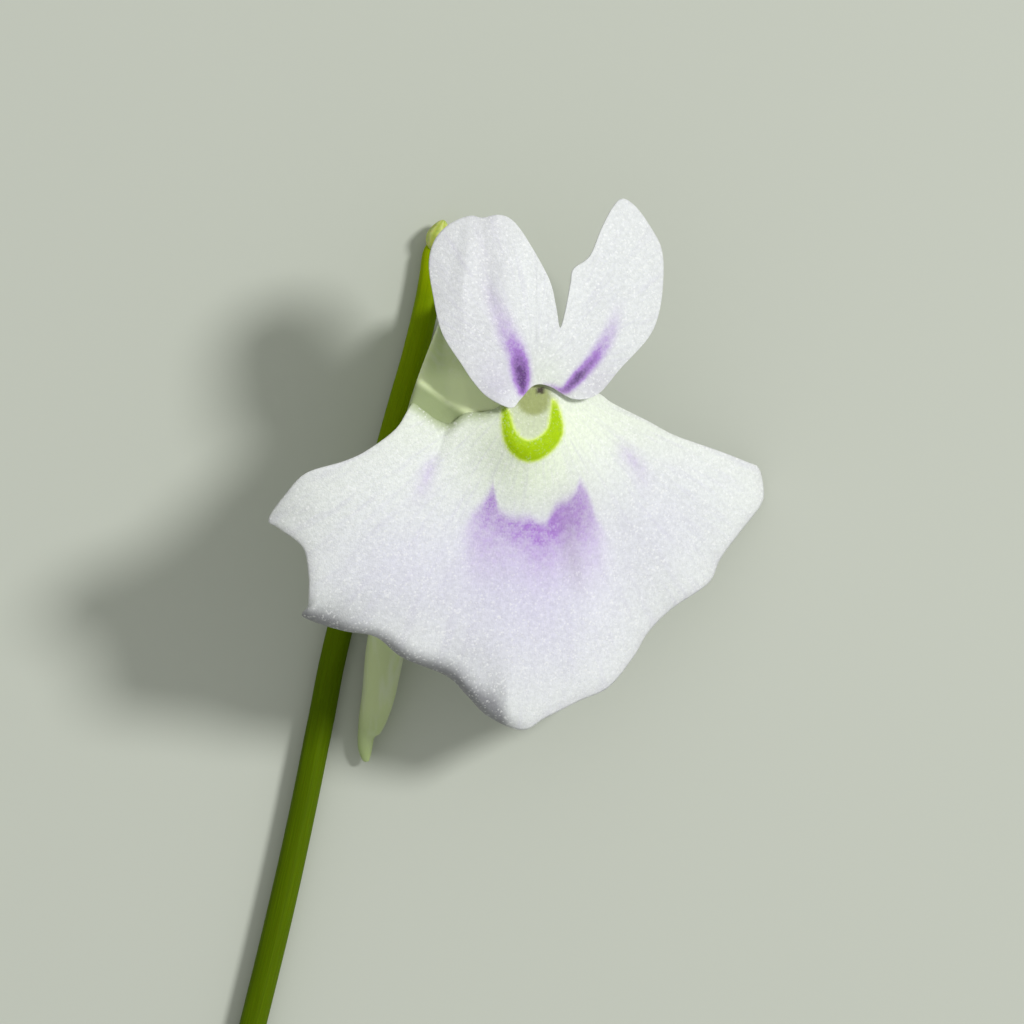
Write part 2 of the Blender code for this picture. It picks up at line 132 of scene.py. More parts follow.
def smooth_points(points, step, closed):
    """Points along a Catmull-Rom curve through the given ones, about a step apart."""
    knots = [np.array(p, dtype=float) for p in points]
    count = len(knots)
    result = []
    for i in range(count if closed else count - 1):
        if closed:
            a, b, c, d = (knots[(i + k) % count] for k in (-1, 0, 1, 2))
        else:
            b, c = knots[i], knots[i + 1]
            a = knots[i - 1] if i > 0 else 2 * b - c
            d = knots[i + 2] if i + 2 < count else 2 * c - b
        parts = max(1, round(float(np.linalg.norm((c - b)[:3])) / step))
        for t in np.arange(parts) / parts:
            result.append(0.5 * (2 * b + (c - a) * t + (2 * a - 5 * b + 4 * c - d) * t ** 2
                                 + (3 * b - a - 3 * c + d) * t ** 3))
    if not closed:
        result.append(knots[-1])
    return np.array(result)


def step_up(value, low, high):
    """Soft step from 0 at low to 1 at high."""
    share = np.clip((value - low) / (high - low), 0.0, 1.0)
    return share * share * (3.0 - 2.0 * share)


def spot(x, y, centre, radii):
    """A soft round spot, 1 at its centre."""
    return np.exp(-((x - centre[0]) / radii[0]) ** 2 - ((y - centre[1]) / radii[1]) ** 2)


def stroke(x, y, path, soft):
    """A soft brush stroke along a path of x, y, half width and strength."""
    mark = np.zeros_like(x)
    points = smooth_points(path, 0.12, False)
    for a, b in zip(points[:-1], points[1:]):
        run = b[:2] - a[:2]
        share = ((x - a[0]) * run[0] + (y - a[1]) * run[1]) / (run @ run)
        share = np.clip(share, 0.0, 1.0)
        away = np.hypot(x - a[0] - run[0] * share, y - a[1] - run[1] * share)
        width = a[2] + (b[2] - a[2]) * share
        strength = a[3] + (b[3] - a[3]) * share
        mark = np.maximum(mark, strength * step_up(width - away, -soft, soft))
    return mark


def turned(side):
    """Height of the turned and swept-back face at this distance from its midline."""
    rise, fall = math.tan(YAW - SWEEP), math.tan(YAW + SWEEP)
    return -0.5 * (rise + fall) * side - 0.5 * (fall - rise) * (np.hypot(side, 1.0) - 1.0)


def shoulder_rise(x, y):
    """How far a point lies above the shoulder line, in mm."""
    return y - np.interp(x, [p[0] for p in SHOULDER_LINE], [p[1] for p in SHOULDER_LINE])


def lower_lip_height(x, y, reach):
    side = x - LIP_MIDLINE[0] - LIP_MIDLINE[1] * y
    height = THROAT_HEIGHT + turned(side) - LIP_FALL * np.minimum(y, 0.0) ** 2
    height -= LIP_RIGHT_BEND[1] * np.maximum(side - LIP_RIGHT_BEND[0], 0.0) ** 2
    height -= LIP_LEFT_BEND[1] * np.maximum(-side - LIP_LEFT_BEND[0], 0.0) ** 2
    height += PALATE_HEIGHT * spot(x, y, PALATE_CENTRE, PALATE_RADII)
    curled = stroke(x, y, LIP_MARGIN, 0.5)
    rolled = np.maximum(0.0, reach - LIP_ROLL_START) / (1.0 - LIP_ROLL_START)
    height -= (LIP_ROLL + LIP_CURL * curled) * rolled ** 3 * step_up(-y, 0.4, 0.9)
    past = shoulder_rise(x, y)
    fall = 0.5 * (past + np.hypot(past, SHOULDER_SOFT)) * step_up(past, -0.3, 0.0)
    return height - SHOULDER_SLOPE * fall * step_up(-x, 0.5, 0.8)


def lower_lip_face(x, y, reach):
    height = lower_lip_height(x, y, reach)
    height += PALATE_FOOT_LIFT * spot(x, y, PALATE_FOOT, PALATE_FOOT_RADII)
    angle = np.arctan2(x + 0.1, -y + 0.3)
    away = np.hypot(x + 0.1, y - 0.3)
    pleats = np.sin(angle * 9.0 + 0.6) + 0.6 * np.sin(angle * 17.0 + 2.0 + 0.4 * away)
    height += 0.045 * pleats * step_up(away, 1.8, 5.0)
    height += 0.014 * np.sin(angle * 31.0 + 1.3) * step_up(reach, 0.75, 1.0) * step_up(-y, 0.8, 2.0)
    crease = stroke(x, y, LIP_CREASE, 0.24)
    pocket = spot(x, y, (-0.20, -0.55), (0.36, 0.42))
    ridge = stroke(x, y, YELLOW_HORSESHOE, 0.16)
    return height - 0.15 * crease - 0.16 * pocket + 0.05 * ridge


def net_points(border):
    """Points of a fine net that lie inside a closed border, a little away from it."""
    low, high = border.min(0), border.max(0)
    rows = np.arange(low[1], high[1], NET_STEP * 0.866)
    points = []
    for index, row in enumerate(rows):
        for column in np.arange(low[0] + NET_STEP * 0.5 * (index % 2), high[0], NET_STEP):
            points.append((column, row))
    points = np.array(points)
    start, end = border, np.roll(border, -1, axis=0)
    run = end - start
    offset = points[:, None, :] - start
    side = run[:, 0] * offset[:, :, 1] - run[:, 1] * offset[:, :, 0]
    rises = (start[:, 1] <= points[:, None, 1]) & (end[:, 1] > points[:, None, 1]) & (side > 0)
    falls = (start[:, 1] > points[:, None, 1]) & (end[:, 1] <= points[:, None, 1]) & (side < 0)
    wound = rises.sum(1) - falls.sum(1)
    away = np.linalg.norm(offset, axis=2).min(1)
    return points[(wound != 0) & (away > 0.6 * NET_STEP)]


def make_petal(name, rim, spine, rings, face, thickness, marks):
    """A petal: a net at its heart and rings out to its rim, with marks stored on its points."""
    columns = len(rim)
    reach = np.linspace(PETAL_HEART, 1.0, rings + 1)[:, None] * np.ones(columns)
    pivot_x = np.clip(rim[:, 0], spine[0], spine[1])
    x = pivot_x + (rim[:, 0] - pivot_x) * reach
    y = spine[2] + (rim[:, 1] - spine[2]) * reach
    heart = np.stack([x[0], y[0]], -1)
    net = net_points(heart)
    x, y = np.append(x.ravel(), net[:, 0]), np.append(y.ravel(), net[:, 1])
    reach = np.append(reach.ravel(), np.zeros(len(net)))
    points = np.stack([x, y, face(x, y, reach)], -1)
    ids = list(range(columns)) + list(range((rings + 1) * columns, len(points)))
    flat = [Vector(points[i][:2]) for i in ids]
    border = [(i, (i + 1) % columns) for i in range(columns)]
    filled = delaunay_2d_cdt(flat, border, [], 1, 1e-7)
    faces = [tuple(ids[filled[3][corner][0]] for corner in corners) for corners in filled[2]]
    for row in range(rings):
        for column in range(columns):
            a, b = row * columns + column, row * columns + (column + 1) % columns
            faces.append((b, a, a + columns, b + columns))
    mesh = bpy.data.meshes.new(name)
    mesh.from_pydata((points + np.array(THROAT)) * MM, [], faces)
    for mark, values in marks(x, y, reach).items():
        stored = mesh.attributes.new(mark, "FLOAT", "POINT")
        stored.data.foreach_set("value", values.ravel().astype(np.float32))
    fan = mesh.attributes.new("fan", "FLOAT_VECTOR", "POINT")
    angle, away = np.arctan2(x + 0.1, -y + 0.3), np.hypot(x + 0.1, y - 0.3)
    fan.data.foreach_set("vector", np.stack([angle, away, 0 * x], -1).ravel().astype(np.float32))
    petal = bpy.data.objects.new(name, mesh)
    bpy.context.scene.collection.objects.link(petal)
    bm = bmesh.new()
    bm.from_mesh(mesh)
    bm.normal_update()
    bmesh.ops.recalc_face_normals(bm, faces=bm.faces)
    if sum(f.normal.z * f.calc_area() for f in bm.faces) < 0:
        bmesh.ops.reverse_faces(bm, faces=bm.faces)
    bm.to_mesh(mesh)
    bm.free()
    mesh.shade_smooth()
    thick = petal.vertex_groups.new(name="thick")
    weights = 1.0 - 0.7 * step_up(reach, 0.55, 1.0).ravel()
    for index, weight in enumerate(weights):
        thick.add([index], float(weight), "REPLACE")
    sheet = petal.modifiers.new("Thickness", "SOLIDIFY")
    sheet.thickness = thickness * MM
    sheet.offset = -1.0
    sheet.vertex_group = "thick"
    sheet.material_offset = 1
    return petal


def linear(code):
    """Linear colour of an sRGB hex value."""
    shares = [int(code[i:i + 2], 16) / 255.0 for i in (1, 3, 5)]
    return tuple(s / 12.92 if s <= 0.04045 else ((s + 0.055) / 1.055) ** 2.4 for s in shares) + (1.0,)


def add_node(tree, kind, settings=None, inputs=None):
    """A new node with its settings; an input takes a value or the output that feeds it."""
    new = tree.nodes.new(kind)
    for key, value in (settings or {}).items():
        setattr(new, key, value)
    for key, value in (inputs or {}).items():
        if isinstance(value, bpy.types.NodeSocket):
            tree.links.new(value, new.inputs[key])
        else:
            new.inputs[key].default_value = value
    return new


def new_material(name):
    material = bpy.data.materials.new(name)
    material.use_nodes = True
    return material, material.node_tree, material.node_tree.nodes["Principled BSDF"]


def blend(tree, factor, under, over, mode="MIX"):
    """The colour over laid on the colour under by a factor."""
    settings = {"data_type": "RGBA", "blend_type": mode}
    return add_node(tree, "ShaderNodeMix", settings, {0: factor, 6: under, 7: over}).outputs[2]


def calc(tree, operation, first, second):
    """One sum on two numbers."""
    settings = {"operation": operation, "use_clamp": False}
    return add_node(tree, "ShaderNodeMath", settings, {0: first, 1: second}).outputs[0]


def mark(tree, name):
    """A mark that is stored on the points of the mesh."""
    return add_node(tree, "ShaderNodeAttribute", {"attribute_name": name})


# Living petal: a satin sheet of domed cells about 0.04 mm across, which glint one by one
# and let some light through.
CELL = 0.036
PETAL_WHITE = "#EDF1ED"
PETAL_LAVENDER = "#DFDDEE"
PETAL_GREENISH = "#EDF7DF"
SHADED_GREEN = "#A6B486"
PAINTED_SHADE_MAUVE = "#B5ACC0"
PAINTED_SHADE_GREY = "#85858A"
VEIN_LILAC = "#CFCBE0"
LILAC_PALE = "#D0C1EA"
LILAC_MID = "#B082D6"
LILAC_DEEP = "#561478"
HORSESHOE_YELLOW = "#A9CC00"
HORSESHOE_EDGE = "#D6EC6A"
THROAT_SHADE_GREEN = "#A3AC72"


def petal_material(name, strength):
    """Petal skin; strength is how strongly the marks show, less on the back."""
    material, tree, shader = new_material(name)
    place = add_node(tree, "ShaderNodeTexCoord").outputs["Object"]
    fan = mark(tree, "fan").outputs["Vector"]
    cells = add_node(tree, "ShaderNodeTexVoronoi", {}, {"Vector": place, "Scale": 1 / (CELL * MM)})
    tint = add_node(tree, "ShaderNodeSeparateColor", {}, {0: cells.outputs["Color"]}).outputs[0]
    stretch = add_node(tree, "ShaderNodeMapping", {}, {"Vector": fan, "Scale": (26.0, 0.8, 1.0)})
    streaks = add_node(tree, "ShaderNodeTexNoise", {},
                       {"Vector": stretch.outputs[0], "Scale": 1.0, "Detail": 4.0}).outputs[0]
    patches = add_node(tree, "ShaderNodeTexNoise", {},
                       {"Vector": place, "Scale": 1 / (0.9 * MM), "Detail": 3.0}).outputs[0]

    colour = blend(tree, mark(tree, "wash").outputs["Fac"], linear(PETAL_WHITE), linear(PETAL_LAVENDER))
    colour = blend(tree, mark(tree, "green").outputs["Fac"], colour, linear(PETAL_GREENISH))
    vein = add_node(tree, "ShaderNodeMapRange", {}, {0: streaks, 1: 0.50, 2: 0.75, 3: 0.0, 4: 0.30})
    colour = blend(tree, vein.outputs[0], colour, linear(VEIN_LILAC))
    grain = add_node(tree, "ShaderNodeMapRange", {}, {0: tint, 1: 0.0, 2: 1.0, 3: 0.82, 4: 1.10})
    lilac = calc(tree, "MULTIPLY", mark(tree, "lilac").outputs["Fac"], grain.outputs[0])
    lilac = calc(tree, "MULTIPLY", lilac, strength)
    uneven = add_node(tree, "ShaderNodeTexNoise", {},
                      {"Vector": place, "Scale": 1 / (0.16 * MM), "Detail": 3.0}).outputs[0]
    uneven = add_node(tree, "ShaderNodeMapRange", {}, {0: uneven, 1: 0.3, 2: 0.7, 3: 0.82, 4: 1.16})
    lilac = calc(tree, "MULTIPLY", lilac, uneven.outputs[0])
    ramp = add_node(tree, "ShaderNodeValToRGB", {}, {0: lilac})
    ramp.color_ramp.elements[0].color = linear(LILAC_PALE)
    ramp.color_ramp.elements[1].color = linear(LILAC_DEEP)
    middle = ramp.color_ramp.elements.new(0.5)
    middle.color = linear(LILAC_MID)
    cover = add_node(tree, "ShaderNodeMapRange", {}, {0: lilac, 1: 0.0, 2: 0.45, 3: 0.0, 4: 1.0})
    colour = blend(tree, cover.outputs[0], colour, ramp.outputs[0])
    # Painted shade: the throat pocket under the upper lip's arch is darkened to grey-green.
    throat = calc(tree, "MULTIPLY", mark(tree, "throat").outputs["Fac"], strength)
    colour = blend(tree, throat, colour, linear(THROAT_SHADE_GREEN))
    yellow = calc(tree, "MULTIPLY", mark(tree, "yellow").outputs["Fac"], strength)
    edge = add_node(tree, "ShaderNodeMapRange", {}, {0: yellow, 1: 0.0, 2: 0.4, 3: 0.0, 4: 1.0})
    core = add_node(tree, "ShaderNodeMapRange", {}, {0: yellow, 1: 0.30, 2: 0.65, 3: 0.0, 4: 1.0})
    colour = blend(tree, edge.outputs[0], colour, linear(HORSESHOE_EDGE))
    colour = blend(tree, core.outputs[0], colour, linear(HORSESHOE_YELLOW))
    # Painted shade: a dark dot where the throat opens between the lips.
    colour = blend(tree, mark(tree, "dark").outputs["Fac"], colour, linear("#4A4236"))
    # Grey-mauve, mostly painted shade, on both lips.
    mauve = calc(tree, "MULTIPLY", mark(tree, "mauve").outputs["Fac"], 0.5)
    colour = blend(tree, mauve, colour, linear(PAINTED_SHADE_MAUVE))
    # Painted shade: grey over the curled margins and a fold of the lower lip, and over the upper lip.
    colour = blend(tree, mark(tree, "grey").outputs["Fac"], colour, linear(PAINTED_SHADE_GREY))
    # Painted shade: the lower lip's shoulder, where it falls back to the tube, takes the shaded flank's
    # grey-green.
    shade = mark(tree, "shade").outputs["Fac"]
    colour = blend(tree, shade, colour, linear(SHADED_GREEN))
    speckle = add_node(tree, "ShaderNodeTexNoise", {},
                       {"Vector": place, "Scale": 1 / (2.2 * CELL * MM), "Detail": 2.0}).outputs[0]
    darkening = add_node(tree, "ShaderNodeMapRange", {}, {0: speckle, 1: 0.35, 2: 0.65, 3: 0.80, 4: 1.0})
    colour = blend(tree, 0.5, colour, darkening.outputs[0], "MULTIPLY")
    marked = calc(tree, "MAXIMUM", calc(tree, "MAXIMUM", yellow, throat), cover.outputs[0])
    plain = calc(tree, "SUBTRACT", 1.0, calc(tree, "MULTIPLY", marked, 0.85))
    # Painted highlight: random cells lightened toward white in the base colour, beside the real glints from their
    # roughness and bump.
    glint = add_node(tree, "ShaderNodeMapRange", {}, {0: tint, 1: 0.86, 2: 0.96, 3: 0.0, 4: 0.35})
    colour = blend(tree, calc(tree, "MULTIPLY", glint.outputs[0], plain), colour, (1.0, 1.0, 1.0, 1.0))
    tree.links.new(colour, shader.inputs["Base Color"])

    rough = add_node(tree, "ShaderNodeMapRange", {}, {0: tint, 1: 0.0, 2: 1.0, 3: 0.62, 4: 0.38})
    tree.links.new(rough.outputs[0], shader.inputs["Roughness"])
    shader.inputs["Specular IOR Level"].default_value = 0.15
    shader.inputs["Subsurface Weight"].default_value = 0.30
    shader.inputs["Subsurface Radius"].default_value = (1.0, 1.0, 0.9)
    shader.inputs["Subsurface Scale"].default_value = 0.15 * MM
    domes = calc(tree, "SUBTRACT", 1.0, cells.outputs["Distance"])
    relief = calc(tree, "ADD", calc(tree, "MULTIPLY", domes, 0.5), calc(tree, "MULTIPLY", tint, 0.35))
    relief = calc(tree, "ADD", relief, calc(tree, "MULTIPLY", streaks, 0.8))
    relief = calc(tree, "ADD", relief, calc(tree, "MULTIPLY", patches, 0.6))
    bump = add_node(tree, "ShaderNodeBump", {}, {"Strength": 0.5, "Distance": 0.02 * MM, "Height": relief})
    tree.links.new(bump.outputs[0], shader.inputs["Normal"])
    return material


def lower_lip_marks(x, y, reach):
    top = np.interp(x, [p[0] for p in LILAC_TOP], [p[1] for p in LILAC_TOP], left=-9.0, right=-9.0)
    deep = 0.28 + sum(spot(x, y, s[:2], s[2:4]) * s[4] for s in LILAC_SPOTS)
    patch = deep * step_up(top - y, -0.14, 0.22) * step_up(y, -4.5, -2.7)
    patch *= step_up(x, -1.80, -1.20) * step_up(-x, -1.55, -0.95)
    middle = 0.09 * np.exp(-((x - 0.05) / 0.40) ** 2) * step_up(-y, 2.4, 3.2) * step_up(y, -5.6, -3.0)
    faint = sum(stroke(x, y, stripe, 0.22) for stripe in FAINT_LILAC)
    # Painted shade: darker grey on the curled lower-left margin, at the left tip, on the left side of a fold near
    # the bottom tip and faintly towards both sides.
    darkening = 1.05 * stroke(x, y, LIP_MARGIN, 0.28) + 0.22 * spot(x, y, (-5.1, -2.5), (0.7, 0.55))
    darkening += 0.02 * step_up(-x, 2.0, 3.5) + 0.12 * spot(x, y, (-3.4, -4.6), (1.5, 0.7))
    darkening += 0.06 * step_up(x, 0.9, 2.0) + 0.16 * spot(x, y, (-1.5, -5.4), (0.7, 0.4))
    darkening += 0.26 * spot(x, y, (-4.2, -4.5), (0.6, 0.35))
    darkening += 0.50 * spot(x, y, (-0.92, -6.30), (0.36, 0.55)) * step_up(-x, 0.58, 0.76)
    yellow = stroke(x, y, YELLOW_HORSESHOE, 0.09)
    # Painted shade: grey-green in the throat pocket under the upper lip's arch, fading to a paler green below.
    throat = step_up(1.0 - np.hypot((x + 0.15) / 0.48, (y + 0.20) / 0.46), -0.05, 0.45)
    pale = 0.44 * step_up(1.0 - np.hypot((x + 0.2) / 0.6, (y + 0.55) / 0.65), 0.0, 0.4)
    green = spot(x, y, (-0.2, -1.4), (1.3, 1.1)) + 0.6 * step_up(y, -1.6, -0.3)
    return {
        "lilac": patch + middle + faint,
        "yellow": yellow,
        "throat": np.maximum(throat, pale) * (1.0 - yellow),
        "green": np.clip(green, 0.0, 1.0),
        # Painted shade: the dark dot of the throat's opening.
        "dark": step_up(1.0 - np.hypot(x / 0.10, (y + 0.03) / 0.09), 0.0, 0.4),
        "grey": np.clip(darkening, 0.0, 0.90),
        "wash": np.clip(spot(x, y, (-0.2, -3.9), (2.1, 2.2)) + 0.5 * spot(x, y, (-3.2, -3.6), (1.4, 1.2))
                        + 0.4 * spot(x, y, (2.6, -2.6), (1.2, 1.2)), 0.0, 1.0),
        # Painted shade on the shoulder above the shoulder line.
        "shade": 0.9 * step_up(shoulder_rise(x, y), -0.30, 0.04) * step_up(-x, 0.5, 0.7),
        # Grey-mauve: painted shade on a stripe below the lilac patch and on the outer rim, and a mauve spot at the
        # patch's right.
        "mauve": stroke(x, y, MAUVE_STREAK, 0.20) + 0.3 * step_up(reach, 0.94, 1.0)
                 + 0.8 * spot(x, y, (0.68, -2.45), (0.45, 0.55)),
    }


petal_face = petal_material("petal_skin_face", 1.0)
petal_back = petal_material("petal_skin_back", 0.35)
lower_lip = make_petal("lower_lip_petal", smooth_points(LOWER_LIP_OUTLINE, LIP_STEP, True), LIP_SPINE,
                       LIP_RINGS, lower_lip_face, LIP_THICKNESS, lower_lip_marks)
lower_lip.data.materials.append(petal_face)
lower_lip.data.materials.append(petal_back)
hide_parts("lower_lip")
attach(lower_lip, "root")

# The upper lip.
# The smaller upper petal, two lobes on one base, whose feet ride over the palate.
# It grows from the upper edge of the tube's mouth, and each lobe has a violet streak.
UPPER_THICKNESS = 0.11
UPPER_STEP = 0.06
UPPER_RINGS = 70
UPPER_HEIGHT = 4.06
UPPER_LEAN = 0.035
UPPER_MIDLINE_LEAN = 0.25
UPPER_FEET = [(-0.70, -0.40, 0.55, 0.37), (0.85, -0.30, 0.60, 0.14)]
UPPER_LOBE_AXES = (-0.95, 1.30)
UPPER_LOBE_ROUND = 0.10
UPPER_SPINE = (-0.45, 0.75, 0.32)
UPPER_LIP_OUTLINE = [
    (-0.60, -0.38), (-1.04, -0.18), (-1.32, 0.10), (-1.58, 0.48), (-1.98, 1.12),
    (-2.16, 1.88), (-2.24, 2.52), (-2.12, 2.98), (-1.82, 3.30), (-1.42, 3.46),
    (-1.18, 3.42), (-0.84, 3.48), (-0.56, 3.36), (-0.26, 2.96), (0.16, 2.20), (0.30, 1.66),
    (0.38, 1.22), (0.48, 1.50), (0.60, 2.12), (0.66, 2.40), (0.98, 2.66),
    (1.22, 3.22), (1.44, 3.64), (1.64, 3.82), (1.92, 3.64), (2.22, 3.22),
    (2.42, 2.82), (2.46, 2.28), (2.38, 1.58), (2.16, 1.04), (1.60, 0.42),
    (1.14, -0.10), (0.66, -0.20), (0.18, 0.05), (-0.14, 0.07), (-0.42, -0.22),
]
LEFT_STREAK = [
    (-0.36, -0.03, 0.07, 1.20), (-0.39, 0.20, 0.13, 1.20), (-0.42, 0.42, 0.16, 1.00),
    (-0.48, 0.70, 0.17, 0.60), (-0.64, 1.04, 0.19, 0.34), (-0.82, 1.48, 0.17, 0.20),
    (-1.00, 1.86, 0.14, 0.10), (-1.06, 2.20, 0.12, 0.0),
]
RIGHT_STREAK = [
    (0.08, 0.08, 0.01, 0.4), (0.26, 0.04, 0.02, 0.6), (0.46, -0.04, 0.05, 1.0),
    (0.76, 0.26, 0.09, 1.15), (0.93, 0.44, 0.10, 0.82), (1.13, 0.70, 0.13, 0.50),
    (1.33, 1.03, 0.14, 0.30), (1.49, 1.43, 0.12, 0.14), (1.56, 1.80, 0.10, 0.0),
]
LOBE_FOLDS = [
    (-1.50, 0.90, 0.02, 0.2), (-1.56, 1.80, 0.03, 1.0), (-1.50, 2.60, 0.03, 1.0),
    (-1.44, 3.20, 0.03, 0.6),
]
LOBE_FURROW = [
    (-0.80, 1.10, 0.02, 0.3), (-1.02, 1.86, 0.03, 1.0), (-1.08, 2.52, 0.03, 1.0),
    (-1.16, 3.10, 0.03, 0.9), (-1.18, 3.44, 0.03, 0.8),
]


def upper_lip_face(x, y, reach):
    side = x - UPPER_MIDLINE_LEAN * np.maximum(y, 0.0)
    height = UPPER_HEIGHT + turned(side) - UPPER_LEAN * np.maximum(y, 0.0) ** 2
    axis = np.where(side < 0.0, UPPER_LOBE_AXES[0], UPPER_LOBE_AXES[1])
    height -= UPPER_LOBE_ROUND * (side - axis) ** 2 * np.minimum(1.0, abs(side) / 0.6) * reach
    for foot_x, foot_y, foot_radius, lift in UPPER_FEET:
        height += lift * spot(x, y, (foot_x, foot_y), (foot_radius, foot_radius))
    height += 0.05 * stroke(x, y, LOBE_FOLDS, 0.28) - 0.07 * stroke(x, y, LOBE_FURROW, 0.32)
    height -= 0.03 * stroke(x, y, RIGHT_STREAK, 0.25)
    return height + 0.012 * np.sin(7.0 * x - 3.0 * y) * step_up(y, 0.8, 2.5)


def upper_lip_marks(x, y, reach):
    return {
        "lilac": stroke(x, y, LEFT_STREAK, 0.15) + stroke(x, y, RIGHT_STREAK, 0.12),
        "yellow": np.zeros_like(x),
        # Painted shade: a little of the throat's grey-green at the upper lip's base, right of the middle.
        "throat": 0.25 * spot(x, y, (0.35, -0.10), (0.35, 0.10)),
        "green": 0.4 * spot(x, y, (0.10, 0.20), (0.45, 0.55)),
        "dark": np.zeros_like(x),
        # Painted shade: faint grey over the upper lip, stronger at its base and towards the right lobe.
        "grey": 0.06 + 0.07 * spot(x, y, (0.10, 0.40), (0.60, 0.90)) + 0.05 * step_up(x, 0.4, 1.2),
        "wash": np.clip(0.25 + 0.3 * spot(x, y, (-0.85, 0.10), (0.45, 0.60)), 0.0, 1.0),
        "shade": np.zeros_like(x),
        # Painted shade in grey-mauve: in the left lobe's furrow, over the left lobe and at both lobes' bases.
        "mauve": 0.35 * stroke(x, y, LOBE_FURROW, 0.26) + 0.30 * step_up(-x, 0.3, 0.9)
                 + 0.7 * spot(x, y, (1.15, 0.10), (0.5, 0.4)) + 0.3 * spot(x, y, (-0.8, 0.1), (0.5, 0.5)),
    }


upper_lip = make_petal("upper_lip_petal", smooth_points(UPPER_LIP_OUTLINE, UPPER_STEP, True), UPPER_SPINE,
                       UPPER_RINGS, upper_lip_face, UPPER_THICKNESS, upper_lip_marks)
upper_lip.data.materials.append(petal_face)
upper_lip.data.materials.append(petal_back)
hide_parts("upper_lip")
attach(upper_lip, "root")

# The stem.
# The thin wiry scape, cut at its foot. It is one tapering tube with faint ridges along
# it, swept along its path.
STEM_PATH = [                                # x, y, z and radius
    (-7.03, -17.65, 0.28, 0.28), (-5.78, -12.66, 0.27, 0.27), (-5.24, -10.44, 0.27, 0.27),
    (-4.82, -8.54, 0.27, 0.265), (-4.44, -6.66, 0.27, 0.265), (-4.06, -4.84, 0.27, 0.26),
    (-2.98, -0.82, 0.27, 0.26), (-2.58, 0.60, 0.26, 0.255), (-2.32, 1.68, 0.26, 0.25),
    (-2.22, 2.28, 0.25, 0.24), (-2.20, 2.72, 0.25, 0.20), (-2.16, 2.90, 0.27, 0.15),
]


def swept_tree():
    """Geometry nodes that sweep a ridged circle along a curve, as thick as its radius."""
    tree = bpy.data.node_groups.new("swept_stalk", "GeometryNodeTree")
    face = tree.interface
    face.new_socket("Geometry", in_out="INPUT", socket_type="NodeSocketGeometry")
    face.new_socket("Sides", in_out="INPUT", socket_type="NodeSocketInt")
    face.new_socket("Ridges", in_out="INPUT", socket_type="NodeSocketFloat")
    face.new_socket("Ridge depth", in_out="INPUT", socket_type="NodeSocketFloat")
    face.new_socket("Skin", in_out="INPUT", socket_type="NodeSocketMaterial")
    face.new_socket("Geometry", in_out="OUTPUT", socket_type="NodeSocketGeometry")
    given = tree.nodes.new("NodeGroupInput").outputs
    knot = add_node(tree, "GeometryNodeSplineParameter")
    stored = {"data_type": "FLOAT", "domain": "POINT"}
    path = add_node(tree, "GeometryNodeStoreNamedAttribute", stored,
                    {"Geometry": given["Geometry"], "Name": "along", "Value": knot.outputs["Length"]})
    circle = add_node(tree, "GeometryNodeCurvePrimitiveCircle", {"mode": "RADIUS"},
                      {"Resolution": given["Sides"], "Radius": 1.0})
    ring = add_node(tree, "GeometryNodeStoreNamedAttribute", stored,
                    {"Geometry": circle.outputs[0], "Name": "around", "Value": knot.outputs["Factor"]})
    radius = add_node(tree, "GeometryNodeInputRadius")
    sweep = add_node(tree, "GeometryNodeCurveToMesh", {},
                     {"Curve": path.outputs[0], "Profile Curve": ring.outputs[0], "Fill Caps": True})
    if "Scale" in sweep.inputs:
        tree.links.new(radius.outputs[0], sweep.inputs["Scale"])
    around = add_node(tree, "GeometryNodeInputNamedAttribute", {"data_type": "FLOAT"}, {"Name": "around"})
    turn = calc(tree, "MULTIPLY", calc(tree, "MULTIPLY", around.outputs[0], 2 * math.pi), given["Ridges"])
    wave = calc(tree, "MULTIPLY", calc(tree, "COSINE", turn, 0.0), given["Ridge depth"])
    push = add_node(tree, "ShaderNodeVectorMath", {"operation": "SCALE"},
                    {0: add_node(tree, "GeometryNodeInputNormal").outputs[0], "Scale": wave})
    ridged = add_node(tree, "GeometryNodeSetPosition", {},
                      {"Geometry": sweep.outputs[0], "Offset": push.outputs[0]})
    real = add_node(tree, "GeometryNodeRealizeInstances", {}, {"Geometry": ridged.outputs[0]})
    skin = add_node(tree, "GeometryNodeSetMaterial", {},
                    {"Geometry": real.outputs[0], "Material": given["Skin"]})
    add_node(tree, "NodeGroupOutput", {}, {0: skin.outputs[0]})
    return tree


SWEPT_STALK = swept_tree()


